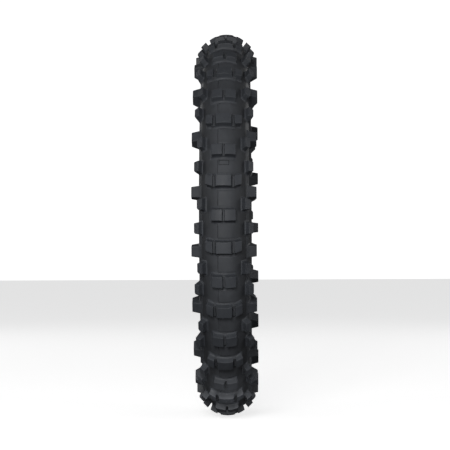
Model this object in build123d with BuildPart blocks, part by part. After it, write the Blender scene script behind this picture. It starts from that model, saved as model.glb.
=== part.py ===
from build123d import *
import os
from math import cos, sin, radians

os.makedirs("parts", exist_ok=True)

# Frame: origin at the wheel centre, +Y is the spin axis, +Z is up, and +X faces the viewer of the tread.
# Meridian profiles are drawn with x = distance from the mid-plane and y = distance from the spin axis.
# "right" is +Y and "left" is -Y.

# ---------- driving sizes, in mm and degrees ----------
OUTER_R = 335.0          # over the crown blocks: an overall diameter of 670
TREAD_ARC_R = 50.0       # the block tops curve across the tread by this radius
CASING_R = 41.0          # cross-section radius of the casing's outside
HEART_R = 283.0          # from the spin axis to the centre of the casing's cross-section
SEAT_R = 241.3           # 19 inch rim: 482.6 across the bead seats
HEEL_HALF_W = 28.4       # outside of the heel, from the mid-plane
HEEL_R = 244.0
TOE_HALF_W = 13.4
SEAT_IN = 14.6           # the flat of the bead seat runs between these two
SEAT_OUT = 26.5
TOE_R = 243.5

ROWS = 19
PITCH = 360.0 / ROWS
THREE_ROW_AT = -6.40     # one of the three-block rows, in degrees up from +X
TWO_ROW_AT = THREE_ROW_AT - 0.519 * PITCH
INNER_SHOULDER_AT = TWO_ROW_AT + 3.3
OUTER_SHOULDER_AT = TWO_ROW_AT - 3.6
SIDE_LUG_AT = THREE_ROW_AT - 2.0

BLOCK_LEN = 18.5         # along the direction of travel, at the top
CENTRE_HALF_W = 12.2
ROW_SLOT = 5.8           # between the blocks of a three-block row
ROW_HALF_W = 30.2
PAIR_SLOT = 4.4          # between the two blocks of a pair
PAIR_HALF_W = 20.0
SLOT_DEPTH = 6.2
WALL_LEAN = 0.13         # how far a knob's free wall runs out per mm of depth
SLOT_WALL_LEAN = 0.22    # the same for the centre block's two slot walls
KNOB_DEPTH = 19.0        # knobs are cut from stock this deep, then trimmed to the casing

RUBBER_T = 3.6           # of the sidewall, and of the tread base beside the breaker
BREAKER_T = 1.2
PLY_T = 1.1
LINER_T = 1.0
BREAKER_EDGE = 38.0      # degrees from the middle of the crown, about the cross-section's centre
TREAD_EDGE = 60.0        # where tread base and sidewall meet, measured the same way
FLANK_LEAVES = 24.0      # degrees below the widest point where the outer flank goes straight
INNER_LEAVES = 50.0      # the same for the cavity side

CORE_IN = 21.0           # the wire bundle of each bead
CORE_OUT = 26.0
CORE_LOW = 244.6
CORE_TOP = 250.1
TURN_UP_R = 257.0        # top of the inner ply's turned-up edge
PLY_BEND_R = 249.5       # where the plies turn from the bundle into the flank
OUTER_PLY_END_R = 246.0
CHAFER_TOP_R = 255.0
LINER_END_R = 250.2

PLY_OUT_R = CASING_R - RUBBER_T
PLY_MID_R = PLY_OUT_R - PLY_T
PLY_IN_R = PLY_MID_R - PLY_T
CAVITY_R = PLY_IN_R - LINER_T
BREAKER_R = PLY_OUT_R + BREAKER_T

MERIDIAN = Plane(origin=(0, 0, 0), x_dir=(0, 1, 0), z_dir=(0, 0, -1))
SPIN = Axis((0, 0, 0), (0, 1, 0))
MIRROR = Plane.XZ


def section_point(radius, below):
    """A point on a circle about the cross-section's centre, in degrees below its widest point."""
    a = radians(below)
    return (radius * cos(a), HEART_R - radius * sin(a))


def line_at(a, b, radius):
    """The point of the line through a and b at this distance from the spin axis."""
    t = (radius - a[1]) / (b[1] - a[1])
    return (a[0] + t * (b[0] - a[0]), radius)


def left_of(points):
    return [(-x, y) for x, y in points]


def crown_arc(radius, below):
    """An arc over the crown between two mirrored points."""
    end = section_point(radius, below)
    ThreePointArc((-end[0], end[1]), (0, HEART_R + radius), end)


def side_arc(radius, start, stop, side=1):
    """An arc on one side between two heights given in degrees below the widest point."""
    angles = (start, (start + stop) / 2, stop)
    points = [section_point(radius, angle) for angle in angles]
    ThreePointArc(*[(side * x, y) for x, y in points])


# corners shared by neighbouring layers, right-hand side
FLANK_TOP = section_point(CASING_R, FLANK_LEAVES)
FLANK_LOW = (HEEL_HALF_W, HEEL_R)
CAVITY_TOP = section_point(CAVITY_R, INNER_LEAVES)
TOE = (TOE_HALF_W, TOE_R)
OUTER_PLY_TOP = section_point(PLY_OUT_R, FLANK_LEAVES)
OUTER_PLY_BEND = (CORE_OUT + 2 * PLY_T, PLY_BEND_R)
TURN_TOP = section_point(PLY_MID_R, FLANK_LEAVES)
TURN_BEND = (CORE_OUT + PLY_T, PLY_BEND_R)
TURN_UP_OUT = line_at(TURN_TOP, TURN_BEND, TURN_UP_R)
TURN_UP_IN = (TURN_UP_OUT[0] - PLY_T, TURN_UP_R)
CHAFER_OUT = line_at(FLANK_TOP, FLANK_LOW, CHAFER_TOP_R)
CHAFER_IN = line_at(OUTER_PLY_TOP, OUTER_PLY_BEND, CHAFER_TOP_R)
LINER_LOW = line_at(CAVITY_TOP, TOE, LINER_END_R)
BEAD_SIDE_STEPS = 4
FILLER_SIDE = [
    section_point(PLY_MID_R, FLANK_LEAVES + (INNER_LEAVES - FLANK_LEAVES) * i / BEAD_SIDE_STEPS)
    for i in range(BEAD_SIDE_STEPS + 1)
]
WRAP_TOP = (CORE_IN - PLY_T, CORE_TOP + 0.5)
WRAP_IN = (CORE_IN - PLY_T, CORE_LOW - PLY_T)
WRAP_OUT = (CORE_OUT + PLY_T, CORE_LOW - PLY_T)
TREAD_BELOW = TREAD_EDGE - 90
BREAKER_BELOW = BREAKER_EDGE - 90

# ---------- casing layers, each one turned about the spin axis ----------
with BuildPart() as tread_base:
    with BuildSketch(MERIDIAN):
        with BuildLine():
            crown_arc(CASING_R, TREAD_BELOW)
            crown_arc(BREAKER_R, BREAKER_BELOW)
            edge = [
                section_point(CASING_R, TREAD_BELOW),
                section_point(PLY_OUT_R, TREAD_BELOW),
            ]
            step = [
                section_point(PLY_OUT_R, BREAKER_BELOW),
                section_point(BREAKER_R, BREAKER_BELOW),
            ]
            side_arc(PLY_OUT_R, TREAD_BELOW, BREAKER_BELOW, side=1)
            side_arc(PLY_OUT_R, TREAD_BELOW, BREAKER_BELOW, side=-1)
            Polyline(*edge)
            Polyline(*step)
            Polyline(*left_of(edge))
            Polyline(*left_of(step))
        make_face()
    revolve(axis=SPIN)

with BuildPart() as breaker_ply:
    with BuildSketch(MERIDIAN):
        with BuildLine():
            crown_arc(BREAKER_R, BREAKER_BELOW)
            crown_arc(PLY_OUT_R, BREAKER_BELOW)
            Polyline(*step)
            Polyline(*left_of(step))
        make_face()
    revolve(axis=SPIN)

with BuildPart() as outer_casing_ply:
    with BuildSketch(MERIDIAN):
        with BuildLine():
            crown_arc(PLY_OUT_R, FLANK_LEAVES)
            crown_arc(PLY_MID_R, FLANK_LEAVES)
            edge = [
                OUTER_PLY_TOP,
                OUTER_PLY_BEND,
                (OUTER_PLY_BEND[0], OUTER_PLY_END_R),
                (TURN_BEND[0], OUTER_PLY_END_R),
                TURN_BEND,
                TURN_TOP,
            ]
            Polyline(*edge)
            Polyline(*left_of(edge))
        make_face()
    revolve(axis=SPIN)

with BuildPart() as inner_casing_ply:
    with BuildSketch(MERIDIAN):
        with BuildLine():
            crown_arc(PLY_MID_R, FLANK_LEAVES)
            crown_arc(PLY_IN_R, INNER_LEAVES)
            edge = FILLER_SIDE + [
                (CORE_IN, CORE_TOP),
                (CORE_IN, CORE_LOW),
                (CORE_OUT, CORE_LOW),
                (CORE_OUT, CORE_TOP),
                TURN_UP_IN,
                TURN_UP_OUT,
                TURN_BEND,
                WRAP_OUT,
                WRAP_IN,
                WRAP_TOP,
                section_point(PLY_IN_R, INNER_LEAVES),
            ]
            Polyline(*edge)
            Polyline(*left_of(edge))
        make_face()
    revolve(axis=SPIN)

with BuildPart() as inner_liner:
    with BuildSketch(MERIDIAN):
        with BuildLine():
            crown_arc(PLY_IN_R, INNER_LEAVES)
            crown_arc(CAVITY_R, INNER_LEAVES)
            edge = [
                section_point(PLY_IN_R, INNER_LEAVES),
                WRAP_TOP,
                LINER_LOW,
                CAVITY_TOP,
            ]
            Polyline(*edge)
            Polyline(*left_of(edge))
        make_face()
    revolve(axis=SPIN)

with BuildPart() as sidewall_right:
    with BuildSketch(MERIDIAN):
        with BuildLine():
            side_arc(CASING_R, TREAD_BELOW, FLANK_LEAVES)
            side_arc(PLY_OUT_R, TREAD_BELOW, FLANK_LEAVES)
            Line(section_point(CASING_R, TREAD_BELOW), section_point(PLY_OUT_R, TREAD_BELOW))
            Polyline(FLANK_TOP, CHAFER_OUT, CHAFER_IN, OUTER_PLY_TOP)
        make_face()
    revolve(axis=SPIN)

with BuildPart() as bead_core_right:
    with BuildSketch(MERIDIAN):
        with BuildLine():
            Polyline(
                (CORE_IN, CORE_LOW),
                (CORE_OUT, CORE_LOW),
                (CORE_OUT, CORE_TOP),
                (CORE_IN, CORE_TOP),
                close=True,
            )
        make_face()
    revolve(axis=SPIN)

with BuildPart() as bead_filler_right:
    with BuildSketch(MERIDIAN):
        with BuildLine():
            Polyline(
                *FILLER_SIDE,
                (CORE_IN, CORE_TOP),
                (CORE_OUT, CORE_TOP),
                TURN_UP_IN,
                TURN_UP_OUT,
                close=True,
            )
        make_face()
    revolve(axis=SPIN)

with BuildPart() as chafer_right:
    with BuildSketch(MERIDIAN):
        with BuildLine():
            Polyline(
                CHAFER_OUT,
                FLANK_LOW,
                (SEAT_OUT, SEAT_R),
                (SEAT_IN, SEAT_R),
                TOE,
                LINER_LOW,
                WRAP_TOP,
                WRAP_IN,
                WRAP_OUT,
                (TURN_BEND[0], OUTER_PLY_END_R),
                (OUTER_PLY_BEND[0], OUTER_PLY_END_R),
                OUTER_PLY_BEND,
                CHAFER_IN,
                close=True,
            )
        make_face()
    revolve(axis=SPIN)

# the whole casing as a solid ring, to trim the knobs' undersides with
with BuildPart() as casing_form:
    with BuildSketch(MERIDIAN):
        with Locations((0, HEART_R)):
            Circle(CASING_R)
    revolve(axis=SPIN)

# the curved skin that the crown blocks' tops lie in, and the lower one of the slot floors
with BuildPart() as top_form:
    with BuildSketch(MERIDIAN):
        with Locations((0, OUTER_R - TREAD_ARC_R)):
            Circle(TREAD_ARC_R)
    revolve(axis=SPIN)

with BuildPart() as slot_form:
    with BuildSketch(MERIDIAN):
        with Locations((0, OUTER_R - TREAD_ARC_R)):
            Circle(TREAD_ARC_R - SLOT_DEPTH)
    revolve(axis=SPIN)

# the left-hand casing layers are mirror images of the right-hand ones
with BuildPart() as sidewall_left:
    mirror(sidewall_right.part, about=MIRROR)

with BuildPart() as bead_core_left:
    mirror(bead_core_right.part, about=MIRROR)

with BuildPart() as bead_filler_left:
    mirror(bead_filler_right.part, about=MIRROR)

with BuildPart() as chafer_left:
    mirror(chafer_right.part, about=MIRROR)


# ---------- knobs: one of each is shaped on +X, then set round the tyre ----------
def knob_plane(across, radius, lean):
    """A plane facing out of the tyre: x runs down the right shoulder, y along the travel."""
    a = radians(lean)
    return Plane(
        origin=(radius, across, 0),
        x_dir=(-sin(a), cos(a), 0),
        z_dir=(cos(a), sin(a), 0),
    )


def spread(outline, inner, outer, ends):
    """An outline about the origin with its inner, outer and end sides moved out."""
    return [
        (x + outer if x > 0 else x - inner, y + ends if y > 0 else y - ends)
        for x, y in outline
    ]


def set_round(solid, start, every=PITCH, count=ROWS):
    """Copies of one solid round the spin axis; a turn towards +Z is a negative turn about +Y."""
    return [solid.rotate(Axis.Y, -(start + every * i)) for i in range(count)]


TOP_CLEAR = 0.2          # stock above the crown's skin, so that the skin trims the whole top


def crown_top_at(across):
    """Radius of the crown blocks' tops at a distance from the mid-plane."""
    return OUTER_R - TREAD_ARC_R + (TREAD_ARC_R**2 - across**2) ** 0.5


# Outlines are (across, along) in a knob's own plane; "along" is up at the front of the tyre.
HALF_LEN = BLOCK_LEN / 2
CENTRE_OUTLINE = [
    (-CENTRE_HALF_W, -HALF_LEN),
    (CENTRE_HALF_W, -HALF_LEN),
    (CENTRE_HALF_W, HALF_LEN),
    (-CENTRE_HALF_W, HALF_LEN),
]

# the row-end block: its outer end is swept forward and is shorter
END_IN = CENTRE_HALF_W + ROW_SLOT
END_MID = (END_IN + ROW_HALF_W) / 2
END_LEAN = 26.0
END_HALF_W = 6.6
END_OUTLINE = [
    (-END_HALF_W, -HALF_LEN),
    (END_HALF_W, -HALF_LEN + 4.3),
    (END_HALF_W, HALF_LEN + 1.7),
    (-END_HALF_W, HALF_LEN),
]
# how far the inner, outer and end walls run out per mm of depth; the wall on a slot stays steep
END_FOOT = (-0.36, WALL_LEAN, WALL_LEAN)

PAIR_MID = (PAIR_SLOT / 2 + PAIR_HALF_W) / 2
PAIR_LEAN = 11.0
PAIR_FOOT = (-0.12, WALL_LEAN, WALL_LEAN)
PAIR_BLOCK_HALF = 9.05
PAIR_OUTLINE = [
    (-PAIR_BLOCK_HALF, -HALF_LEN),
    (PAIR_BLOCK_HALF, -HALF_LEN + 0.6),
    (PAIR_BLOCK_HALF, HALF_LEN),
    (-PAIR_BLOCK_HALF, HALF_LEN),
]

# shoulder knobs: place and lean of the top face, and its outline
INNER_SHOULDER_TOP = (39.55, 317.3)
INNER_SHOULDER_LEAN = 44.6
INNER_SHOULDER_OUTLINE = [
    (-5.7, -8.6),
    (3.2, -8.2),
    (5.7, -5.6),
    (5.7, 8.2),
    (-5.7, 9.2),
]
INNER_SHOULDER_FOOT = (-0.13, 0.18, WALL_LEAN)
OUTER_SHOULDER_TOP = (44.8, 309.3)
OUTER_SHOULDER_LEAN = 45.4
OUTER_SHOULDER_OUTLINE = [
    (-5.3, -9.7),
    (3.4, -9.2),
    (5.3, -7.0),
    (5.3, 7.8),
    (-5.3, 8.4),
]
OUTER_SHOULDER_FOOT = (-0.11, 0.30, WALL_LEAN)

# side lugs: the outer face lies at the tyre's full width, the base inside the sidewall
LUG_TIP = 53.2
LUG_TIP_SPAN = (276.0, 294.0)
LUG_TIP_HALF_LEN = 8.6
LUG_BASE = 36.0
LUG_BASE_SPAN = (266.0, 299.0)
LUG_BASE_HALF_LEN = 10.3


def knob_stock(plane, outline, foot_rates):
    """A knob with leaning walls, from its top plane down into the casing."""
    foot = spread(outline, *[rate * KNOB_DEPTH for rate in foot_rates])
    with BuildPart() as stock:
        with BuildSketch(plane):
            with BuildLine():
                Polyline(*outline, close=True)
            make_face()
        with BuildSketch(plane.offset(-KNOB_DEPTH)):
            with BuildLine():
                Polyline(*foot, close=True)
            make_face()
        loft()
    return stock.part


def crown_block(plane, outline, foot_rates):
    """A block with its top in the crown's skin and its foot on the casing."""
    block = knob_stock(plane, outline, foot_rates) & top_form.part
    return (block - casing_form.part).solids().sort_by(Axis.X)[-1]


def shoulder_knob(top, lean, outline, foot_rates):
    """A knob with a flat top on the shoulder and its foot on the casing."""
    knob = knob_stock(knob_plane(top[0], top[1], lean), outline, foot_rates)
    return (knob - casing_form.part).solids().sort_by(Axis.X)[-1]


centre_block = crown_block(
    knob_plane(0, OUTER_R, 0), CENTRE_OUTLINE, (SLOT_WALL_LEAN, SLOT_WALL_LEAN, WALL_LEAN)
)
end_block = crown_block(
    knob_plane(END_MID, crown_top_at(END_MID) + TOP_CLEAR, END_LEAN),
    END_OUTLINE,
    END_FOOT,
)
pair_block = crown_block(
    knob_plane(PAIR_MID, crown_top_at(PAIR_MID) + TOP_CLEAR, PAIR_LEAN),
    PAIR_OUTLINE,
    PAIR_FOOT,
)
inner_shoulder_knob = shoulder_knob(
    INNER_SHOULDER_TOP, INNER_SHOULDER_LEAN, INNER_SHOULDER_OUTLINE, INNER_SHOULDER_FOOT
)
outer_shoulder_knob = shoulder_knob(
    OUTER_SHOULDER_TOP, OUTER_SHOULDER_LEAN, OUTER_SHOULDER_OUTLINE, OUTER_SHOULDER_FOOT
)

with BuildPart() as lug:
    for across, span, half_len in (
        (LUG_TIP, LUG_TIP_SPAN, LUG_TIP_HALF_LEN),
        (LUG_BASE, LUG_BASE_SPAN, LUG_BASE_HALF_LEN),
    ):
        with BuildSketch(Plane(origin=(0, across, 0), x_dir=(1, 0, 0), z_dir=(0, 1, 0))):
            with Locations((sum(span) / 2, 0)):
                Rectangle(span[1] - span[0], 2 * half_len)
    loft()
    add(casing_form.part, mode=Mode.SUBTRACT)
side_lug = lug.part.solids().sort_by(Axis.Y)[-1]

# raised floors of the slots: what is left of a row's strip below the slot depth, between its blocks
TIE_HALF_LEN = HALF_LEN + 0.6
TIE_OVERLAP = 2.4        # the strips reach under the blocks beside them before those are cut out
with BuildPart() as row_ties:
    with BuildSketch(knob_plane(0, OUTER_R, 0)):
        for side in (-1, 1):
            with Locations((side * (CENTRE_HALF_W + ROW_SLOT / 2), 0)):
                Rectangle(ROW_SLOT + TIE_OVERLAP, 2 * TIE_HALF_LEN)
    extrude(amount=-KNOB_DEPTH)
    add(slot_form.part, mode=Mode.INTERSECT)
    add(casing_form.part, mode=Mode.SUBTRACT)
    add(centre_block, mode=Mode.SUBTRACT)
    add(end_block, mode=Mode.SUBTRACT)
    add(mirror(end_block, about=MIRROR, mode=Mode.PRIVATE), mode=Mode.SUBTRACT)

with BuildPart() as pair_tie:
    with BuildSketch(knob_plane(0, OUTER_R, 0)):
        Rectangle(PAIR_SLOT + TIE_OVERLAP, 2 * TIE_HALF_LEN)
    extrude(amount=-KNOB_DEPTH)
    add(slot_form.part, mode=Mode.INTERSECT)
    add(casing_form.part, mode=Mode.SUBTRACT)
    add(pair_block, mode=Mode.SUBTRACT)
    add(mirror(pair_block, about=MIRROR, mode=Mode.PRIVATE), mode=Mode.SUBTRACT)

# ---------- knobs set round the tyre, each kind one node of separate solids ----------
with BuildPart() as centre_blocks:
    add(set_round(centre_block, THREE_ROW_AT))

with BuildPart() as row_end_blocks_right:
    add(set_round(end_block, THREE_ROW_AT))

with BuildPart() as row_end_blocks_left:
    mirror(row_end_blocks_right.part, about=MIRROR)

with BuildPart() as row_tie_bars:
    for bar in row_ties.part.solids().sort_by(SortBy.VOLUME)[-2:]:
        add(set_round(bar, THREE_ROW_AT))

with BuildPart() as pair_blocks_right:
    add(set_round(pair_block, TWO_ROW_AT))

with BuildPart() as pair_blocks_left:
    mirror(pair_blocks_right.part, about=MIRROR)

with BuildPart() as pair_tie_bars:
    add(set_round(pair_tie.part.solid(), TWO_ROW_AT))

with BuildPart() as inner_shoulder_knobs_right:
    add(set_round(inner_shoulder_knob, INNER_SHOULDER_AT))

with BuildPart() as inner_shoulder_knobs_left:
    mirror(inner_shoulder_knobs_right.part, about=MIRROR)

with BuildPart() as outer_shoulder_knobs_right:
    add(set_round(outer_shoulder_knob, OUTER_SHOULDER_AT))

with BuildPart() as outer_shoulder_knobs_left:
    mirror(outer_shoulder_knobs_right.part, about=MIRROR)

with BuildPart() as side_lugs_right:
    add(set_round(side_lug, SIDE_LUG_AT))

with BuildPart() as side_lugs_left:
    mirror(side_lugs_right.part, about=MIRROR)

# ---------- hand over ----------
nodes = {
    "tread_base": tread_base,
    "centre_blocks": centre_blocks,
    "row_end_blocks_left": row_end_blocks_left,
    "row_end_blocks_right": row_end_blocks_right,
    "row_tie_bars": row_tie_bars,
    "pair_blocks_left": pair_blocks_left,
    "pair_blocks_right": pair_blocks_right,
    "pair_tie_bars": pair_tie_bars,
    "inner_shoulder_knobs_left": inner_shoulder_knobs_left,
    "inner_shoulder_knobs_right": inner_shoulder_knobs_right,
    "outer_shoulder_knobs_left": outer_shoulder_knobs_left,
    "outer_shoulder_knobs_right": outer_shoulder_knobs_right,
    "side_lugs_left": side_lugs_left,
    "side_lugs_right": side_lugs_right,
    "sidewall_left": sidewall_left,
    "sidewall_right": sidewall_right,
    "breaker_ply": breaker_ply,
    "outer_casing_ply": outer_casing_ply,
    "inner_casing_ply": inner_casing_ply,
    "inner_liner": inner_liner,
    "bead_core_left": bead_core_left,
    "bead_core_right": bead_core_right,
    "bead_filler_left": bead_filler_left,
    "bead_filler_right": bead_filler_right,
    "chafer_left": chafer_left,
    "chafer_right": chafer_right,
}
for name, node in nodes.items():
    node.part.label = name
    export_step(node.part, "parts/" + name + ".step")
    print(name, len(node.part.solids()), round(node.part.volume), node.part.bounding_box().size)
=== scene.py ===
import bpy
import bmesh
from math import atan2, cos, exp, hypot, pi, radians, sin, sqrt, tan

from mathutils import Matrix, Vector

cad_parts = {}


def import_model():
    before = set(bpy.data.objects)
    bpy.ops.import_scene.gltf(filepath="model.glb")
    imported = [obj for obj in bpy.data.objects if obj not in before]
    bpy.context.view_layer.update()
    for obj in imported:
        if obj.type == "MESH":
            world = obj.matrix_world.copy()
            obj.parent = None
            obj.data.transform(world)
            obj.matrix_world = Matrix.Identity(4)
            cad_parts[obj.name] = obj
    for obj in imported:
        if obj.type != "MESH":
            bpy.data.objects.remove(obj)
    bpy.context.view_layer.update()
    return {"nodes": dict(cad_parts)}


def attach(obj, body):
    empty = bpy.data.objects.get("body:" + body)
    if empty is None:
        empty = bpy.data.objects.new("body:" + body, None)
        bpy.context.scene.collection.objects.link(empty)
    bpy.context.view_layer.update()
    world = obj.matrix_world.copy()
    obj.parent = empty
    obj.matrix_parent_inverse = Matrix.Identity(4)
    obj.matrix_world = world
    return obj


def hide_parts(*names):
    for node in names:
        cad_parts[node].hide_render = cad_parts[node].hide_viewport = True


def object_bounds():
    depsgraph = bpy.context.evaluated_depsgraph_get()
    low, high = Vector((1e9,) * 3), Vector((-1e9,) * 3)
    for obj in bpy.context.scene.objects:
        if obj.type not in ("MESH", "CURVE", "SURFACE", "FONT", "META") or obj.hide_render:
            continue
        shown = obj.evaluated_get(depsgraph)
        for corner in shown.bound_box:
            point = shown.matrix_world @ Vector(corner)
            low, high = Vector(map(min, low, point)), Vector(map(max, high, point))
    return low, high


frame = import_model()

MM = 0.001
BODY = "root"

# ---------- sizes shared with the CAD, in mm; angles about the spin axis in radians ----------
CASING_R = 41.0          # cross-section radius of the casing's outside
HEART_R = 283.0          # from the spin axis to the centre of the casing's cross-section
OUTER_R = 335.0          # over the crown blocks
TREAD_ARC_R = 50.0       # the block tops curve across the tread by this radius
SKIN_HEART_R = OUTER_R - TREAD_ARC_R
PLY_OUT_R = 37.4         # inside of the sidewall and of the tread base's edges
BREAKER_R = 38.6         # inside of the tread base's middle
HEEL_HALF_W = 28.4
HEEL_R = 244.0
CHAFER_TOP_R = 255.0
TREAD_EDGE = 60.0        # degrees from the crown's middle to where tread base and sidewall meet
FLANK_LEAVES = 24.0      # degrees below the widest point where the flank goes straight

ROWS = 19
PITCH = 2 * pi / ROWS
TWO_ROW_BELOW = 0.519    # from a three-block row down to the next two-block row, in pitches
TWO_ROW_ABOVE = 0.481
THREE_ROW_AT = radians(-6.40)
TWO_ROW_AT = THREE_ROW_AT - TWO_ROW_BELOW * PITCH
INNER_SHOULDER_AT = TWO_ROW_AT + radians(3.3)
OUTER_SHOULDER_AT = TWO_ROW_AT - radians(3.6)
SIDE_LUG_AT = THREE_ROW_AT - radians(2.0)

BLOCK_LEN = 18.5
HALF_LEN = BLOCK_LEN / 2
CENTRE_HALF_W = 12.2
ROW_SLOT = 5.8
ROW_HALF_W = 30.2
PAIR_SLOT = 4.4
PAIR_HALF_W = 20.0
SLOT_DEPTH = 6.2
WALL_LEAN = 0.13         # how far a free wall runs out per mm of depth
SLOT_WALL_LEAN = 0.22    # the same for the centre block's two slot walls
KNOB_DEPTH = 19.0        # a knob's walls are drawn this deep and end where they meet the casing
TOP_CLEAR = 0.2          # an end or pair block's plane lies this far above the skin that trims it

# outlines are (across, along) in a knob's own plane
CENTRE_OUTLINE = [
    (-CENTRE_HALF_W, -HALF_LEN), (CENTRE_HALF_W, -HALF_LEN),
    (CENTRE_HALF_W, HALF_LEN), (-CENTRE_HALF_W, HALF_LEN),
]
CENTRE_FOOT = (SLOT_WALL_LEAN, SLOT_WALL_LEAN, WALL_LEAN)
END_IN = CENTRE_HALF_W + ROW_SLOT
END_MID = (END_IN + ROW_HALF_W) / 2
END_HALF_W = 6.6
END_LEAN = 26.0          # leans are in degrees
END_OUTLINE = [
    (-END_HALF_W, -HALF_LEN), (END_HALF_W, -HALF_LEN + 4.3),
    (END_HALF_W, HALF_LEN + 1.7), (-END_HALF_W, HALF_LEN),
]
END_FOOT = (-0.36, WALL_LEAN, WALL_LEAN)
PAIR_MID = (PAIR_SLOT / 2 + PAIR_HALF_W) / 2
PAIR_BLOCK_HALF = 9.05
PAIR_LEAN = 11.0
PAIR_OUTLINE = [
    (-PAIR_BLOCK_HALF, -HALF_LEN), (PAIR_BLOCK_HALF, -HALF_LEN + 0.6),
    (PAIR_BLOCK_HALF, HALF_LEN), (-PAIR_BLOCK_HALF, HALF_LEN),
]
PAIR_FOOT = (-0.12, WALL_LEAN, WALL_LEAN)
INNER_SHOULDER_TOP = (39.55, 317.3, 44.6)    # distance across, radius, lean in degrees
INNER_SHOULDER_OUTLINE = [(-5.7, -8.6), (3.2, -8.2), (5.7, -5.6), (5.7, 8.2), (-5.7, 9.2)]
INNER_SHOULDER_FOOT = (-0.13, 0.18, WALL_LEAN)
OUTER_SHOULDER_TOP = (44.8, 309.3, 45.4)
OUTER_SHOULDER_OUTLINE = [(-5.3, -9.7), (3.4, -9.2), (5.3, -7.0), (5.3, 7.8), (-5.3, 8.4)]
OUTER_SHOULDER_FOOT = (-0.11, 0.30, WALL_LEAN)

LUG_TIP = 53.2
LUG_TIP_SPAN = (276.0, 294.0)
LUG_TIP_HALF_LEN = 8.6
LUG_BASE = 36.0
LUG_BASE_SPAN = (266.0, 299.0)
LUG_BASE_HALF_LEN = 10.3

# ---------- numbers of the looks alone; sizes in mm ----------
SEAM_Y = -9.4            # the mould's parting line runs round the tread here
SEAM_STEP = 0.55         # the tread base stands this much higher on its right
STEP_FADES = (18.0, 33.0)    # and comes back to the plain casing between these distances across
STEP_BEFORE, STEP_W = 0.25, 0.9      # the step starts this far left of the line and is this wide
SEAM_CUT, SEAM_CUT_BEFORE, SEAM_CUT_W = 0.90, 0.45, 0.36     # the fine groove along the line
SEAM_REACH = 1.3         # right of this the line no longer shapes the base

KNOB_CORNER, KNOB_BEVEL, KNOB_SINK = 1.0, 0.7, 0.10
LUG_CORNER, LUG_BEVEL, LUG_SINK, LUG_FLARE = 1.2, 0.8, 0.12, 3.4
PIP_R = PIP_TALL = 0.55
# sink: how deep a flared foot's rim lies under the surface it stands on

CORNER_STEPS = 5
CORNER_SHARE = 0.42      # a round corner takes at most this part of a side
SIDE_STEP = 1.6          # long sides are cut into steps of this length or up to twice it
BEVEL_STEPS, WALL_STEPS, FOOT_STEPS = 4, 4, 7
BEVEL_IN = 1.25          # a rounded edge reaches this much further in over the top than down
LEAST_WALL = 0.45        # part of a wall that a flared foot always leaves straight


def skin_rise(y):
    """How far the tread base stands above the plain casing at this distance from the mid-plane."""
    fade_in, fade_out = STEP_FADES
    if y < SEAM_Y or y > fade_out:
        return 0.0
    if y < fade_in:
        return SEAM_STEP
    return SEAM_STEP * (0.5 + 0.5 * cos(pi * (y - fade_in) / (fade_out - fade_in)))


# ---------- small geometry helpers; a point is (y, r, z): across, radius, along the travel ----------
def world(y, r, z, turn):
    """A knob's point in metres, turned from +X to its place round the tyre."""
    c, s = cos(turn), sin(turn)
    return Vector(((r * c - z * s) * MM, y * MM, (r * s + z * c) * MM))


def settle(p, radius, heart):
    """The point moved straight towards or away from the cross-section's centre onto that circle."""
    y, r, z = p
    rr = hypot(r, z)
    k = radius / hypot(y, rr - heart)
    rr2 = heart + (rr - heart) * k
    return (y * k, r * rr2 / rr, z * rr2 / rr)


def height(p, heart=HEART_R):
    """Distance from the circle of radius `heart` on which the cross-section's centre travels."""
    return hypot(p[0], hypot(p[1], p[2]) - heart)


def lerp(a, b, t):
    return tuple(a[i] + (b[i] - a[i]) * t for i in range(3))


def bend(a, b, c, t):
    """A place on the curve that leaves a towards b and ends at c coming from b; numbers or vectors."""
    return a * (1 - t) ** 2 + b * 2 * t * (1 - t) + c * t * t


def cross_skin(a, b, radius, heart):
    """Where the line from a to b first meets the circle about the cross-section's centre."""
    if height(a, heart) <= radius:
        return a
    lo, hi = 0.0, 1.0
    for _ in range(40):
        m = (lo + hi) / 2
        if height(lerp(a, b, m), heart) > radius:
            lo = m
        else:
            hi = m
    return lerp(a, b, lo)


def rounded(outline, radius):
    """A closed outline with round corners and its long sides cut into short steps."""
    n = len(outline)
    out = []
    for i in range(n):
        a, b, c = (Vector(outline[(i + k) % n]) for k in (-1, 0, 1))
        u, v = (a - b).normalized(), (c - b).normalized()
        half = u.angle(v) / 2
        cut = min(radius / tan(half), CORNER_SHARE * (a - b).length, CORNER_SHARE * (c - b).length)
        rr = cut * tan(half)
        centre = b + (u + v).normalized() * (rr / sin(half))
        p0, p1 = b + u * cut, b + v * cut
        a0 = atan2(p0.y - centre.y, p0.x - centre.x)
        a1 = atan2(p1.y - centre.y, p1.x - centre.x)
        while a1 < a0:
            a1 += 2 * pi
        for k in range(CORNER_STEPS + 1):
            t = a0 + (a1 - a0) * k / CORNER_STEPS
            out.append((centre.x + rr * cos(t), centre.y + rr * sin(t)))
    full = []
    for i, p in enumerate(out):
        q = out[(i + 1) % len(out)]
        m = max(1, int(hypot(q[0] - p[0], q[1] - p[1]) / SIDE_STEP))
        full += [(p[0] + (q[0] - p[0]) * k / m, p[1] + (q[1] - p[1]) * k / m) for k in range(m)]
    return full


def normals2(outline):
    """Outward unit normals of a closed outline that runs anticlockwise."""
    out = []
    for i in range(len(outline)):
        a, b = Vector(outline[i - 1]), Vector(outline[(i + 1) % len(outline)])
        t = (b - a).normalized()
        out.append((t.y, -t.x))
    return out


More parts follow.
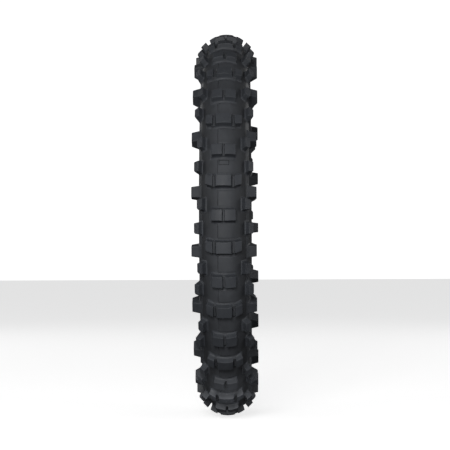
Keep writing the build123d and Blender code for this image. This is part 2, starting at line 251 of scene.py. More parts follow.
class Shape:
    """Points and faces of one piece, gathered before they become a mesh."""

    def __init__(self):
        self.points, self.faces = [], []

    def ring(self, points):
        start = len(self.points)
        self.points += points
        return list(range(start, start + len(points)))

    def bridge(self, a, b, closed=True):
        n = len(a)
        for i in range(n if closed else n - 1):
            j = (i + 1) % n
            self.faces.append((a[i], a[j], b[j], b[i]))

    def cap(self, ring, centre):
        c = len(self.points)
        self.points.append(centre)
        for i in range(len(ring)):
            self.faces.append((ring[i], ring[(i + 1) % len(ring)], c))

    def metres(self):
        return [Vector((x * MM, y * MM, z * MM)) for y, x, z in self.points]


def add_shape(a, b):
    """One shape made of two."""
    out = Shape()
    out.points = a.points + b.points
    base = len(a.points)
    out.faces = a.faces + [tuple(base + k for k in f) for f in b.faces]
    return out


def capped(rings, centre):
    """A shape whose rings run from a top face's middle outwards, then down its sides."""
    shape = Shape()
    ids = [shape.ring(ring) for ring in rings]
    shape.cap(ids[0], centre)
    for a, b in zip(ids, ids[1:]):
        shape.bridge(b, a)
    return shape


def inset_of(tops, centre, bevel):
    """Where a top face ends and its rounded edge begins."""
    out = []
    for top in tops:
        t = Vector(top)
        to = Vector(centre) - t
        out.append(t + to.normalized() * min(bevel * BEVEL_IN, to.length * 0.5))
    return out


def side_rings(edge, tops, feet, outs, bevel, flare, ground):
    """Rings below a top face: its rounded edge, its straight walls and its flared foot."""
    lines = []
    for e, top, foot, out in zip(edge, tops, feet, outs):
        top, foot = Vector(top), Vector(foot)
        wall = foot - top
        reach = max(wall.length - flare, wall.length * LEAST_WALL)
        lines.append((e, top, foot, out, wall.normalized(), reach))
    rings = []
    for k in range(1, BEVEL_STEPS + 1):
        t = k / BEVEL_STEPS
        rings.append([tuple(bend(e, top, top + way * bevel, t)) for e, top, _, _, way, _ in lines])
    for k in range(1, WALL_STEPS + 1):
        t = k / WALL_STEPS
        rings.append([tuple(top + way * (bevel + (reach - bevel) * t))
                      for _, top, _, _, way, reach in lines])
    for k in range(1, FOOT_STEPS + 1):
        t = k / FOOT_STEPS
        ring = []
        for _, top, foot, out, way, reach in lines:
            p = tuple(bend(top + way * reach, foot, foot + out * flare, t))
            level = ground(p[0], t)
            if height(p) < level or k == FOOT_STEPS:
                p = settle(p, level, HEART_R)
            ring.append(p)
        rings.append(ring)
    return rings


def knob_shape(across, radius, lean, outline, foot, flare, skin=True, side=1):
    """One knob in its place on +X. Its top lies in a leaning plane, or in the crown's skin if `skin`;
    `foot` is how far its inner, outer and end walls run out per mm of depth."""
    a = radians(lean)
    up = Vector((sin(a), cos(a)))
    flat = Vector((cos(a), -sin(a)))

    def at(u, v, h):
        p = Vector((across, radius)) + flat * u + up * h
        return (p.x, p.y, v)

    def on_top(p):
        return settle(p, TREAD_ARC_R, SKIN_HEART_R) if skin else p

    def ground(y, t):
        return CASING_R + skin_rise(side * y) * t * t - KNOB_SINK * t

    line = rounded(outline, KNOB_CORNER)
    inner, outer, ends = foot
    us = [u for u, v in outline]
    vs = [v for u, v in outline]
    mid_u = (min(us) + max(us)) / 2
    half_u = (max(us) - min(us)) / 2
    half_v = (max(vs) - min(vs)) / 2
    tops, feet, outs = [], [], []
    for (u, v), (nu, nv) in zip(line, normals2(line)):
        ku = (u - mid_u) / half_u
        kv = v / half_v
        shift_u = (outer if ku > 0 else inner) * ku * KNOB_DEPTH
        deep = at(u + shift_u, v + ends * kv * KNOB_DEPTH, -KNOB_DEPTH)
        top = at(u, v, 0.0)
        if skin:
            top = cross_skin(top, deep, TREAD_ARC_R, SKIN_HEART_R)
        low = cross_skin(top, deep, CASING_R, HEART_R)
        tops.append(top)
        feet.append(low)
        # outward along the casing
        d = hypot(low[0], low[1] - HEART_R)
        ty, tr = (low[1] - HEART_R) / d, -low[0] / d
        outs.append(Vector((ty * nu, tr * nu, nv)).normalized())
    centre = tuple(sum(top[i] for top in tops) / len(tops) for i in range(3))
    inset = [tuple(p) for p in inset_of(tops, centre, KNOB_BEVEL)]
    rings = [[on_top(lerp(centre, p, s)) for p in inset] for s in (0.18, 0.36, 0.54, 0.72, 0.86)]
    edge = [on_top(p) for p in inset]
    rings.append(edge)
    rings += side_rings([Vector(p) for p in edge], tops, feet, outs, KNOB_BEVEL, flare, ground)
    return capped(rings, on_top(centre))


def revolve_shape(profile, segments):
    """A ring from a closed meridian profile of (y, r) points."""
    shape = Shape()
    ids = []
    for k in range(segments):
        t = 2 * pi * k / segments
        ids.append(shape.ring([(y, r * cos(t), r * sin(t)) for y, r in profile]))
    for k in range(segments):
        shape.bridge(ids[k], ids[(k + 1) % segments])
    return shape


def set_round(shape, start, mirrored=False):
    """A knob's copies for every row as one mesh's points, in metres, and faces."""
    points, faces = [], []
    for i in range(ROWS):
        turn = start + PITCH * i
        base = len(points)
        for y, r, z in shape.points:
            points.append(world(-y if mirrored else y, r, z, turn))
        for f in shape.faces:
            g = tuple(base + k for k in f)
            faces.append(tuple(reversed(g)) if mirrored else g)
    return points, faces


def piece(name, points, faces, material, stands_for=()):
    """A smooth mesh that rides on the tyre's one body, in place of the CAD nodes it stands for."""
    mesh = bpy.data.meshes.new(name)
    mesh.from_pydata([tuple(p) for p in points], [], faces)
    mesh.validate()
    bm = bmesh.new()
    bm.from_mesh(mesh)
    bmesh.ops.recalc_face_normals(bm, faces=bm.faces)
    bm.to_mesh(mesh)
    bm.free()
    for p in mesh.polygons:
        p.use_smooth = True
    mesh.materials.append(material)
    obj = bpy.data.objects.new(name, mesh)
    bpy.context.scene.collection.objects.link(obj)
    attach(obj, BODY)
    if stands_for:
        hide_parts(*stands_for)


# ---------- materials ----------
BROAD_SCALE, PATCH_SCALE = 14.0, 95.0    # of the noise that mottles the rubber
PATCH_SHARE = 0.5                        # the finer noise's weight beside the broad one
MOTTLE_FROM, MOTTLE_TO = 0.45, 0.98      # sums of the two noises at which the two tones stand
SHADE_FROM, SHADE_TO = 0.010, 0.032      # painted shade: metres across, from the crown out to the shoulder
ROUGH_LESS, ROUGH_MORE = 0.06, 0.08
GRAIN_BUMP, GRAIN_DEPTH = 0.02, 0.0006


def rubber(name, base, light, rough, grain=900.0, shade=1.0, shine=0.42):
    """Moulded rubber: mottled between two tones, with a fine grain, and with painted shade towards
    the shoulders: `shade` is what is left of the colour there."""
    m = bpy.data.materials.new(name)
    m.use_nodes = True
    nt = m.node_tree
    nt.nodes.clear()
    out = nt.nodes.new("ShaderNodeOutputMaterial")
    bsdf = nt.nodes.new("ShaderNodeBsdfPrincipled")
    nt.links.new(bsdf.outputs[0], out.inputs[0])
    coord = nt.nodes.new("ShaderNodeTexCoord")

    def noise_node(scale, detail, roughness=0.5):
        n = nt.nodes.new("ShaderNodeTexNoise")
        n.inputs["Scale"].default_value = scale
        n.inputs["Detail"].default_value = detail
        n.inputs["Roughness"].default_value = roughness
        nt.links.new(coord.outputs["Object"], n.inputs["Vector"])
        return n

    def range_node(source, from_min, from_max, to_min, to_max):
        n = nt.nodes.new("ShaderNodeMapRange")
        n.inputs["From Min"].default_value = from_min
        n.inputs["From Max"].default_value = from_max
        n.inputs["To Min"].default_value = to_min
        n.inputs["To Max"].default_value = to_max
        nt.links.new(source, n.inputs["Value"])
        return n

    broad = noise_node(BROAD_SCALE, 3.0)
    patch = noise_node(PATCH_SCALE, 4.0, 0.6)
    fine = noise_node(grain, 3.0, 0.6)
    add = nt.nodes.new("ShaderNodeMath")
    add.operation = "MULTIPLY_ADD"
    nt.links.new(patch.outputs["Fac"], add.inputs[0])
    add.inputs[1].default_value = PATCH_SHARE
    nt.links.new(broad.outputs["Fac"], add.inputs[2])
    ramp = nt.nodes.new("ShaderNodeValToRGB")
    ramp.color_ramp.elements[0].position = MOTTLE_FROM
    ramp.color_ramp.elements[0].color = (*base, 1)
    ramp.color_ramp.elements[1].position = MOTTLE_TO
    ramp.color_ramp.elements[1].color = (*light, 1)
    nt.links.new(add.outputs[0], ramp.inputs[0])
    # painted shade: darker towards the shoulders, by the distance from the mid-plane
    split = nt.nodes.new("ShaderNodeSeparateXYZ")
    nt.links.new(coord.outputs["Object"], split.inputs[0])
    off = nt.nodes.new("ShaderNodeMath")
    off.operation = "ABSOLUTE"
    nt.links.new(split.outputs["Y"], off.inputs[0])
    painted_shade_fade = range_node(off.outputs[0], SHADE_FROM, SHADE_TO, 1.0, shade)
    painted_shade_dim = nt.nodes.new("ShaderNodeVectorMath")
    painted_shade_dim.operation = "SCALE"
    nt.links.new(ramp.outputs[0], painted_shade_dim.inputs[0])
    nt.links.new(painted_shade_fade.outputs[0], painted_shade_dim.inputs["Scale"])
    nt.links.new(painted_shade_dim.outputs[0], bsdf.inputs["Base Color"])
    dull = range_node(patch.outputs["Fac"], 0.3, 0.7, rough - ROUGH_LESS, rough + ROUGH_MORE)
    nt.links.new(dull.outputs[0], bsdf.inputs["Roughness"])
    bump = nt.nodes.new("ShaderNodeBump")
    bump.inputs["Strength"].default_value = GRAIN_BUMP
    bump.inputs["Distance"].default_value = GRAIN_DEPTH
    nt.links.new(fine.outputs["Fac"], bump.inputs["Height"])
    nt.links.new(bump.outputs[0], bsdf.inputs["Normal"])
    bsdf.inputs["Specular IOR Level"].default_value = shine
    return m


CORD_BUMP, CORD_DEPTH, CORD_WAVER = 0.4, 0.0003, 0.6


def cord(name, ground, thread, rough, lines=1500.0, turn=0.7):
    """Parallel cords or wires in a darker ground, turned by `turn` radians, raised by a bump."""
    m = bpy.data.materials.new(name)
    m.use_nodes = True
    nt = m.node_tree
    bsdf = nt.nodes["Principled BSDF"]
    coord = nt.nodes.new("ShaderNodeTexCoord")
    spin = nt.nodes.new("ShaderNodeMapping")
    spin.inputs["Rotation"].default_value = (0.0, turn, turn)
    nt.links.new(coord.outputs["Object"], spin.inputs["Vector"])
    wave = nt.nodes.new("ShaderNodeTexWave")
    wave.inputs["Scale"].default_value = lines
    wave.inputs["Distortion"].default_value = CORD_WAVER
    nt.links.new(spin.outputs[0], wave.inputs["Vector"])
    ramp = nt.nodes.new("ShaderNodeValToRGB")
    ramp.color_ramp.elements[0].position = 0.35
    ramp.color_ramp.elements[0].color = (*ground, 1)
    ramp.color_ramp.elements[1].position = 0.8
    ramp.color_ramp.elements[1].color = (*thread, 1)
    nt.links.new(wave.outputs["Fac"], ramp.inputs[0])
    nt.links.new(ramp.outputs[0], bsdf.inputs["Base Color"])
    bump = nt.nodes.new("ShaderNodeBump")
    bump.inputs["Strength"].default_value = CORD_BUMP
    bump.inputs["Distance"].default_value = CORD_DEPTH
    nt.links.new(wave.outputs["Fac"], bump.inputs["Height"])
    nt.links.new(bump.outputs[0], bsdf.inputs["Normal"])
    bsdf.inputs["Roughness"].default_value = rough
    return m


TREAD = rubber("tread_rubber", (0.034, 0.037, 0.043), (0.053, 0.058, 0.067), 0.57)
# the tread base carries painted shade: its colour falls to 0.52 of itself out at the shoulders
BASE = rubber("tread_base_rubber", (0.041, 0.044, 0.049), (0.063, 0.067, 0.075), 0.62,
              shade=0.52, shine=0.30)
SIDE = rubber("sidewall_rubber", (0.033, 0.036, 0.041), (0.050, 0.054, 0.062), 0.50)
LINER = rubber("liner_rubber", (0.020, 0.020, 0.021), (0.034, 0.034, 0.036), 0.38, grain=400.0)
# painted shade: a near-black rubber for the pad's frame, in place of the shadow in the groove it
# stands for
PAD_GROOVE_SHADE_PAINT = rubber("pad_outline_painted_shade", (0.010, 0.011, 0.013), (0.017, 0.018, 0.021), 0.8, shine=0.1)
FILLER = rubber("filler_rubber", (0.024, 0.023, 0.022), (0.036, 0.035, 0.033), 0.60)
PLY = cord("ply_fabric", (0.050, 0.040, 0.030), (0.200, 0.160, 0.110), 0.7)
BREAKER = cord("breaker_fabric", (0.060, 0.048, 0.034), (0.240, 0.190, 0.130), 0.7, turn=-0.7)
WIRE = cord("bead_wire", (0.180, 0.150, 0.110), (0.480, 0.400, 0.280), 0.35, lines=900.0, turn=0.0)
WIRE.node_tree.nodes["Principled BSDF"].inputs["Metallic"].default_value = 0.9


# ---------- knobs ----------
def crown_top_at(across):
    return SKIN_HEART_R + sqrt(TREAD_ARC_R**2 - across**2)


def lean_frame(lean):
    """Directions up from, across and along a top face that leans by this many degrees."""
    a = radians(lean)
    return Vector((sin(a), cos(a), 0)), Vector((cos(a), -sin(a), 0)), Vector((0, 0, 1))


def pip(y, z, lean):
    """A vent pip on the crown: the short round stub a mould's air hole leaves, domed at its end."""
    up, flat, way = lean_frame(lean)
    foot = Vector((y, crown_top_at(y), z))
    shape = Shape()
    ids = []
    for wide, h in ((1.25, -0.3), (1.05, 0.05), (1.0, 0.55), (0.8, 0.85), (0.45, 1.0)):
        ring = []
        for k in range(10):
            b = 2 * pi * k / 10
            ring.append(tuple(foot + (flat * cos(b) + way * sin(b)) * PIP_R * wide
                              + up * (PIP_TALL * h)))
        ids.append(shape.ring(ring))
    for a, b in zip(ids, ids[1:]):
        shape.bridge(a, b)
    shape.cap(ids[-1], tuple(foot + up * PIP_TALL))
    return shape


def bar(top, u0, u1, v, half_w, tall):
    """A low raised dash on a shoulder knob's top face, running across the tread."""
    across, radius, lean = top
    up, flat, way = lean_frame(lean)
    middle = Vector((across, radius, 0))
    shape = Shape()
    ids = []
    for grow, h in ((0.25, -0.25), (0.12, 0.05), (0.0, tall * 0.8), (-0.15, tall)):
        corners = ((u0 - grow, v - half_w - grow), (u1 + grow, v - half_w - grow),
                   (u1 + grow, v + half_w + grow), (u0 - grow, v + half_w + grow))
        ids.append(shape.ring([tuple(middle + flat * u + way * vv + up * h) for u, vv in corners]))
    for a, b in zip(ids, ids[1:]):
        shape.bridge(a, b)
    shape.faces.append(tuple(ids[-1]))
    return shape


def make_end(side):
    return knob_shape(END_MID, crown_top_at(END_MID) + TOP_CLEAR, END_LEAN, END_OUTLINE,
                      END_FOOT, flare=4.0, side=side)


def make_pair(side):
    block = knob_shape(PAIR_MID, crown_top_at(PAIR_MID) + TOP_CLEAR, PAIR_LEAN, PAIR_OUTLINE,
                       PAIR_FOOT, flare=4.2, side=side)
    return add_shape(block, pip(4.3, 0.4, 5))


def make_inner_shoulder(side):
    return knob_shape(*INNER_SHOULDER_TOP, INNER_SHOULDER_OUTLINE, INNER_SHOULDER_FOOT,
                      flare=3.2, skin=False, side=side)


def make_outer_shoulder(side):
    knob = knob_shape(*OUTER_SHOULDER_TOP, OUTER_SHOULDER_OUTLINE, OUTER_SHOULDER_FOOT,
                      flare=3.0, skin=False, side=side)
    for v in (-3.0, 2.6):
        knob = add_shape(knob, bar(OUTER_SHOULDER_TOP, -2.6, 0.4, v, 0.55, 0.5))
        knob = add_shape(knob, bar(OUTER_SHOULDER_TOP, 2.0, 3.4, v + 1.2, 0.45, 0.45))
    return knob


centre = knob_shape(0, OUTER_R, 0, CENTRE_OUTLINE, CENTRE_FOOT, flare=4.2)
centre = add_shape(centre, pip(0.2, 0.0, 0))
centre = add_shape(centre, pip(8.6, 0.1, 10))
points, faces = set_round(centre, THREE_ROW_AT)
piece("centre_blocks_moulded", points, faces, TREAD, ("centre_blocks",))
for kind, make, at in (
    ("row_end_blocks", make_end, THREE_ROW_AT),
    ("pair_blocks", make_pair, TWO_ROW_AT),
    ("inner_shoulder_knobs", make_inner_shoulder, INNER_SHOULDER_AT),
    ("outer_shoulder_knobs", make_outer_shoulder, OUTER_SHOULDER_AT),
):
    for word, side in (("right", 1), ("left", -1)):
        node = kind + "_" + word
        points, faces = set_round(make(side), at, mirrored=side < 0)
        piece(node + "_moulded", points, faces, TREAD, (node,))


# ---------- side lugs ----------
def lug_shape():
    """A block that widens from its outer face, at the tyre's full width, down to the casing."""
    tip_mid, base_mid = sum(LUG_TIP_SPAN) / 2, sum(LUG_BASE_SPAN) / 2
    tip_half, base_half = LUG_TIP_SPAN[1] - tip_mid, LUG_BASE_SPAN[1] - base_mid
    low, high = LUG_TIP_SPAN
    tip = rounded([(low, -LUG_TIP_HALF_LEN), (high, -LUG_TIP_HALF_LEN),
                   (high, LUG_TIP_HALF_LEN), (low, LUG_TIP_HALF_LEN)], LUG_CORNER)
    tip.reverse()    # anticlockwise seen from outside
    base = [(base_mid + base_half * ((x - tip_mid) / tip_half),
             LUG_BASE_HALF_LEN * (z / LUG_TIP_HALF_LEN)) for x, z in tip]
    tops = [(LUG_TIP, x, z) for x, z in tip]
    feet = [cross_skin(top, (LUG_BASE, x, z), CASING_R, HEART_R) for top, (x, z) in zip(tops, base)]
    outs = []
    for i, (y, r, z) in enumerate(feet):
        before, after = Vector(feet[i - 1]), Vector(feet[(i + 1) % len(feet)])
        d = hypot(y, r - HEART_R)
        up = Vector((y / d, (r - HEART_R) / d, 0))
        out = (after - before).normalized().cross(up)
        if (Vector(feet[i]) - Vector((y, base_mid, 0))).dot(out) < 0:
            out = -out
        outs.append(out.normalized())
    centre = (LUG_TIP, tip_mid, 0.0)
    inset = inset_of(tops, centre, LUG_BEVEL)
    rings = [[lerp(centre, tuple(p), s) for p in inset] for s in (0.25, 0.5, 0.75, 1.0)]
    rings += side_rings(inset, tops, feet, outs, LUG_BEVEL, LUG_FLARE,
                        lambda y, t: CASING_R - LUG_SINK * t)
    return capped(rings, centre)


lug = lug_shape()
for name, flip in (("side_lugs_right", False), ("side_lugs_left", True)):
    points, faces = set_round(lug, SIDE_LUG_AT, mirrored=flip)
    piece(name + "_moulded", points, faces, SIDE, (name,))

# ---------- slot floors ----------
FLOOR_ARC_R = TREAD_ARC_R - SLOT_DEPTH
TIE_HALF_LEN = HALF_LEN + 0.55    # 0.05 shorter than the CAD's
TIE_STEPS = 16
TIE_EDGE, TIE_FLARE, TIE_SINK = 1.2, 4.0, 0.1
TIE_EDGE_IN = 1.3        # the rounded edge reaches this much further in than down


def tie_shape(ends, walls, fillet):
    """A raised slot floor across the tread between two ends, with fillets that start at `walls`."""
    shape = Shape()
    ids = []
    for i in range(TIE_STEPS + 1):
        y = ends[0] + (ends[1] - ends[0]) * i / TIE_STEPS
        floor_r = SKIN_HEART_R + sqrt(FLOOR_ARC_R**2 - y * y)
        near = min(abs(y - wall) for wall in walls)
        if not walls[0] < y < walls[1]:
            floor_r += fillet
        elif near < fillet:
            floor_r += fillet - sqrt(fillet**2 - (fillet - near) ** 2)
        case_r = HEART_R + sqrt((CASING_R + skin_rise(y)) ** 2 - y * y)
        tall = floor_r - case_r
        foot_z = TIE_HALF_LEN + WALL_LEAN * tall
        reach = min(TIE_FLARE, 0.6 * tall)
        low_z, low_r = TIE_HALF_LEN + WALL_LEAN * (tall - reach), case_r + reach
        half = []
        for k in range(8):
            t = k / 7
            half.append((bend(foot_z + TIE_FLARE, foot_z, low_z, t),
                         bend(case_r - TIE_SINK, case_r, low_r, t)))
        edge_z, edge_r = TIE_HALF_LEN + WALL_LEAN * TIE_EDGE, floor_r - TIE_EDGE
        flat_z = TIE_HALF_LEN - TIE_EDGE * TIE_EDGE_IN
        for k in range(6):
            t = k / 5
            half.append((bend(edge_z, TIE_HALF_LEN, flat_z, t), bend(edge_r, floor_r, floor_r, t)))
        half += [(flat_z * f, floor_r) for f in (0.66, 0.33)]
        line = [(y, r, z) for z, r in half] + [(y, floor_r, 0.0)]
        line += [(y, r, -z) for z, r in reversed(half)]
        ids.append(shape.ring(line))
    for a, b in zip(ids, ids[1:]):
        shape.bridge(a, b, closed=False)
    return shape


# a floor's ends lie inside the blocks beside the slot, and its fillets start at or just inside
# those blocks' walls
ROW_TIE_ENDS, ROW_TIE_FILLET = (9.5, 20.0), 1.2
ROW_TIE_WALLS = (CENTRE_HALF_W + WALL_LEAN * SLOT_DEPTH, END_IN - 0.6)
PAIR_TIE_END, PAIR_TIE_WALL, PAIR_TIE_FILLET = 4.6, 1.7, 0.9
points, faces = [], []
for side in (-1, 1):
    ends = sorted(side * y for y in ROW_TIE_ENDS)
    walls = sorted(side * y for y in ROW_TIE_WALLS)
    p, f = set_round(tie_shape(ends, walls, ROW_TIE_FILLET), THREE_ROW_AT)
    base = len(points)
    points += p
    faces += [tuple(base + k for k in g) for g in f]
piece("row_tie_bars_moulded", points, faces, BASE, ("row_tie_bars",))
tie = tie_shape((-PAIR_TIE_END, PAIR_TIE_END), (-PAIR_TIE_WALL, PAIR_TIE_WALL), PAIR_TIE_FILLET)
points, faces = set_round(tie, TWO_ROW_AT)
piece("pair_tie_bars_moulded", points, faces, BASE, ("pair_tie_bars",))

# ---------- tread base: a plain skin left of the mould's parting line, raised bays right of it ----
CASING_OUT_R = HEART_R + CASING_R
BAY_RISE = 0.75
BAY_LEFT_W = 1.3                         # the bay's left edge climbs over this width
BAY_RIGHT, BAY_RIGHT_W = 12.0, 12.0      # it falls away from here on, over this width
BAY_TOP_GAP, BAY_TOP_W = 3.4, 2.6        # from the row above it, and the width of that edge
BAY_LOW_GAP, BAY_LOW_W = 2.6, 3.0        # the same below
ROW_FOOT = HALF_LEN + WALL_LEAN * 11.0   # half a row's length at its foot, 11 mm down


def ease(t):
    t = min(max(t, 0.0), 1.0)
    return t * t * (3 - 2 * t)


def row_gap(turn):
    """Distances in mm along the casing to the nearest row's foot, up the tyre and down it."""
    ups, downs = [], []
    for at in (THREE_ROW_AT, TWO_ROW_AT):
        d = ((turn - at) % PITCH) * CASING_OUT_R
        ups.append(PITCH * CASING_OUT_R - d - ROW_FOOT)
        downs.append(d - ROW_FOOT)
    return min(ups), min(downs)


def base_rise(y, turn):
    """How far the tread base stands above the plain casing, with its parting line and its bays."""
    rise = skin_rise(y)
    near = y - SEAM_Y
    if near < SEAM_REACH:
        rise = SEAM_STEP * ease((near + STEP_BEFORE) / STEP_W)
        rise -= SEAM_CUT * exp(-((near + SEAM_CUT_BEFORE) / SEAM_CUT_W) ** 2)
    up, down = row_gap(turn)
    across = ease((near + 0.1) / BAY_LEFT_W) * (1 - ease((y - BAY_RIGHT) / BAY_RIGHT_W))
    along = ease((up - BAY_TOP_GAP) / BAY_TOP_W) * ease((down - BAY_LOW_GAP) / BAY_LOW_W)
    return rise + BAY_RISE * across * along


# places across, in degrees from the crown's middle: close together at the parting line
ACROSS_STEPS = ((1.6, 0.3), (3.0, 0.6), (1e9, 2.0))  # nearer to it than so many mm, so many degrees
ACROSS = []
deg = -TREAD_EDGE
while deg < TREAD_EDGE + 0.01:
    ACROSS.append(deg)
    dist = abs(CASING_R * sin(radians(deg)) - SEAM_Y)
    deg += next(step for reach, step in ACROSS_STEPS if dist < reach)
ACROSS[-1] = TREAD_EDGE
EDGE_UNDER = [(a, PLY_OUT_R) for a in (TREAD_EDGE, 49, 38.2)]
UNDERSIDE = EDGE_UNDER + [(a, BREAKER_R) for a in (38, 25, 12, 0, -12, -25, -38)]
UNDERSIDE += [(-a, under) for a, under in reversed(EDGE_UNDER)]

# places along the travel, in mm from a row's middle: close together at the bays' two edges
EDGE_STEPS = [0.0, 8.0, 12.6] + [13.2 + 0.65 * i for i in range(8)]
AROUND = []
for i in range(ROWS):
    for at, gap in ((THREE_ROW_AT, TWO_ROW_ABOVE), (TWO_ROW_AT, TWO_ROW_BELOW)):
        start = at + PITCH * i
        span = gap * PITCH * CASING_OUT_R
        low, high = EDGE_STEPS[-1], span - EDGE_STEPS[-1]
        places = EDGE_STEPS + [span - e for e in EDGE_STEPS[1:]]
        places += [low + (high - low) * k / 6 for k in range(1, 6)]
        AROUND += [(start + p / CASING_OUT_R) % (2 * pi) for p in places]
AROUND.sort()
shape = Shape()
ids = []
for turn in AROUND:
    line = []
    for deg in ACROSS:
        a = radians(deg)
        rr = CASING_R + base_rise(CASING_R * sin(a), turn)
        line.append((rr * sin(a), HEART_R + rr * cos(a)))
    for deg, under in UNDERSIDE:
        a = radians(deg)
        line.append((under * sin(a), HEART_R + under * cos(a)))
    ids.append(shape.ring([(y, r * cos(turn), r * sin(turn)) for y, r in line]))
for k in range(len(AROUND)):
    shape.bridge(ids[k], ids[(k + 1) % len(AROUND)])
piece("tread_base_moulded", shape.metres(), shape.faces, BASE, ("tread_base",))

# ---------- the small rectangle in one bay: a thin, barely raised frame standing in for a groove, coloured near black as painted shade ---
PAD_TURN = radians(18.1)
PAD_LEFT, PAD_RIGHT = -7.6, 9.0
PAD_HALF_LEN = 4.0
PAD_ACROSS, PAD_ALONG = 12, 6        # steps along its sides
PAD_SECTION = ((-0.1, -0.2), (0.0, 0.10), (0.35, 0.14), (0.7, 0.10), (0.8, -0.2))    # inset, lift
shape = Shape()
ids = []
for inset, lift in PAD_SECTION:
    y0, y1 = PAD_LEFT + inset, PAD_RIGHT - inset
    z0, z1 = -PAD_HALF_LEN + inset, PAD_HALF_LEN - inset
    loop = [(y0 + (y1 - y0) * i / PAD_ACROSS, z0) for i in range(PAD_ACROSS)]
    loop += [(y1, z0 + (z1 - z0) * i / PAD_ALONG) for i in range(PAD_ALONG)]
    loop += [(y1 - (y1 - y0) * i / PAD_ACROSS, z1) for i in range(PAD_ACROSS)]
    loop += [(y0, z1 - (z1 - z0) * i / PAD_ALONG) for i in range(PAD_ALONG)]
    ring = []
    for y, z in loop:
        turn = PAD_TURN + z / CASING_OUT_R
        rr = CASING_R + base_rise(y, turn) + lift
        r = HEART_R + sqrt(rr * rr - y * y)
        ring.append((y, r * cos(turn), r * sin(turn)))
    ids.append(shape.ring(ring))
for a, b in zip(ids, ids[1:]):
    shape.bridge(a, b)
# the frame's colour is painted shade for a groove
piece("tread_pad_outline", shape.metres(), shape.faces, PAD_GROOVE_SHADE_PAINT)

# ---------- sidewalls ----------
RIBS = ((269.6, 0.45, 0.5), (263.0, 0.6, 0.7), (258.4, 0.45, 0.5))   # radius, half width, height
FLANK_FROM = -30.2       # degrees below the widest point, a little past the tread base's edge
FLANK_STEPS, LOW_STEPS = 120, 60
FOOT_IN = 30.4           # inside of the sidewall's lower end
SIDEWALL_SEGMENTS = 342


def ribs(r):
    lift = 0.0
    for at, half, tall in RIBS:
        d = abs(r - at)
        if d < half * 2:
            lift += tall * (0.5 + 0.5 * cos(pi * d / (half * 2)))
    return lift


def flank_profile():
    """The sidewall's outside from the tread edge down to the chafer, with its raised ribs."""
    out = []
    for i in range(FLANK_STEPS + 1):
        a = radians(FLANK_FROM + (FLANK_LEAVES - FLANK_FROM) * i / FLANK_STEPS)
        k = CASING_R + ribs(HEART_R - CASING_R * sin(a))
        out.append((k * cos(a), HEART_R - k * sin(a)))
    a = radians(FLANK_LEAVES)
    top = (CASING_R * cos(a), HEART_R - CASING_R * sin(a))
    low = (HEEL_HALF_W, HEEL_R)
    length = hypot(top[0] - low[0], top[1] - low[1])
    ny, nr = (top[1] - low[1]) / length, -(top[0] - low[0]) / length
    for i in range(1, LOW_STEPS + 1):
        r = top[1] + (CHAFER_TOP_R - top[1]) * i / LOW_STEPS
        y = top[0] + (low[0] - top[0]) * ((r - top[1]) / (low[1] - top[1]))
        out.append((y + ny * ribs(r), r + nr * ribs(r)))
    return out


wall = flank_profile() + [(FOOT_IN, CHAFER_TOP_R)]
wall += [(PLY_OUT_R * cos(radians(a)), HEART_R - PLY_OUT_R * sin(radians(a)))
         for a in (24, 16, 8, 0, -8, -16, -24, -30)]
for word, side in (("right", 1), ("left", -1)):
    ring = revolve_shape([(side * y, r) for y, r in wall], SIDEWALL_SEGMENTS)
    piece("sidewall_" + word + "_moulded", ring.metres(), ring.faces, SIDE,
          ("sidewall_" + word,))

# ---------- materials of the CAD nodes; those that a piece replaces are hidden ----------
LOOKS = (
    ("bead_core", WIRE),
    ("bead_filler", FILLER),
    ("breaker", BREAKER),
    ("casing_ply", PLY),
    ("liner", LINER),
    ("chafer", SIDE),
    ("sidewall", SIDE),
    ("side_lug", SIDE),
    ("tread_base", BASE),
    ("tie_bars", BASE),
)
for name, node in frame["nodes"].items():
    node.data.materials.clear()
    found = [look for word, look in LOOKS if word in name]
    node.data.materials.append(found[0] if found else TREAD)

# ---------- floor, light and camera, in metres ----------
WORLD_COLOUR, WORLD_STRENGTH = (0.97, 0.98, 1.0, 1), 0.045
room = bpy.data.worlds.new("soft_room")
bpy.context.scene.world = room
room.use_nodes = True
bg = room.node_tree.nodes["Background"]
bg.inputs[0].default_value = WORLD_COLOUR
bg.inputs[1].default_value = WORLD_STRENGTH


def glowing(name, tone, glow):
    m = bpy.data.materials.new(name)
    m.use_nodes = True
    b = m.node_tree.nodes["Principled BSDF"]
    b.inputs["Base Color"].default_value = (tone, tone, tone, 1)
    b.inputs["Roughness"].default_value = 0.9
    b.inputs["Specular IOR Level"].default_value = 0.1
    b.inputs["Emission Color"].default_value = (1, 1, 1, 1)
    b.inputs["Emission Strength"].default_value = glow
    return m


def sheet_of(name, corners, material):
    """A glowing sheet that the camera sees but that neither lights the tyre nor shows in its gloss."""
    mesh = bpy.data.meshes.new(name)
    mesh.from_pydata(corners, [], [(0, 1, 2, 3)])
    mesh.materials.append(material)
    obj = bpy.data.objects.new(name, mesh)
    bpy.context.scene.collection.objects.link(obj)
    obj.visible_diffuse = False
    obj.visible_glossy = False


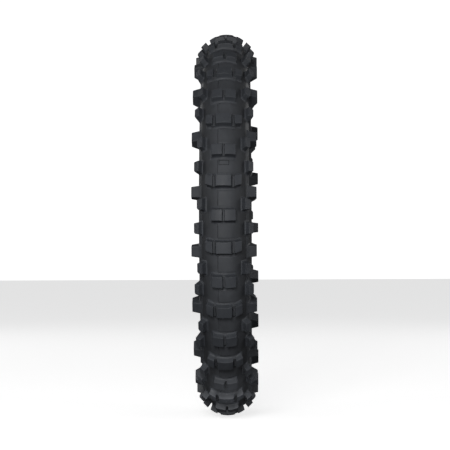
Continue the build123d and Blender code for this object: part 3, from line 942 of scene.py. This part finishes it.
ROOM = 9.0
floor_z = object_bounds()[0][2]
sheet_of("floor", [(-ROOM, -ROOM, floor_z), (ROOM, -ROOM, floor_z),
                   (ROOM, ROOM, floor_z), (-ROOM, ROOM, floor_z)],
         glowing("floor_paint", 0.88, 0.72))
sheet_of("backdrop", [(-ROOM, -ROOM, floor_z - 1), (-ROOM, ROOM, floor_z - 1),
                      (-ROOM, ROOM, ROOM), (-ROOM, -ROOM, ROOM)],
         glowing("backdrop_paint", 0.9, 1.0))


def lamp(name, at, aim, size, power):
    data = bpy.data.lights.new(name, "AREA")
    data.shape = "RECTANGLE"
    data.size, data.size_y = size
    data.energy = power
    obj = bpy.data.objects.new(name, data)
    obj.location = at
    obj.rotation_euler = (Vector(aim) - Vector(at)).to_track_quat("-Z", "Y").to_euler()
    bpy.context.scene.collection.objects.link(obj)


# place, what it points at, size, watts
lamp("front_light", (3.1, -0.3, 0.80), (0.2, 0, 0.0), (0.9, 1.0), 53)
lamp("left_light", (0.35, -2.6, 0.6), (0.2, 0, 0), (1.2, 1.2), 11)
lamp("right_light", (0.35, 2.6, 0.6), (0.2, 0, 0), (1.2, 1.2), 12)
lamp("top_light", (0.8, 0, 2.4), (0.2, 0, 0), (1.2, 1.2), 2.0)
lamp("low_card", (1.1, 0.0, -0.22), (0.2, 0, -0.22), (0.8, 0.12), 0.9)
lamp("rear_left_light", (-2.4, -1.7, 1.0), (0, 0, 0), (1.2, 1.2), 6)
lamp("rear_right_light", (-2.4, 1.7, 1.0), (0, 0, 0), (1.2, 1.2), 6)
lamp("bounce_card", (0.22, 0.0, -0.3335), (-0.1, 0, -0.32), (0.3, 0.02), 0.15)

# the camera, fitted to the photo's outline and to the spacing of its rows
YAW = radians(1.1)
ROLL = radians(0.26)
DISTANCE = 3.641
SENSOR, LENS = 36.0, 164.88              # mm
SHIFT_X, SHIFT_Y = -0.0053333, -0.0001556    # parts of the picture's width
cam_data = bpy.data.cameras.new("camera")
cam = bpy.data.objects.new("camera", cam_data)
cam_data.sensor_width = SENSOR
cam_data.lens = LENS
cam.location = (DISTANCE * cos(YAW), DISTANCE * sin(YAW), 0.0)
cam.rotation_euler = (radians(90), ROLL, radians(90) + YAW)
cam_data.shift_x = SHIFT_X
cam_data.shift_y = SHIFT_Y
bpy.context.scene.collection.objects.link(cam)
bpy.context.scene.camera = cam
bpy.context.scene.view_settings.view_transform = "Standard"
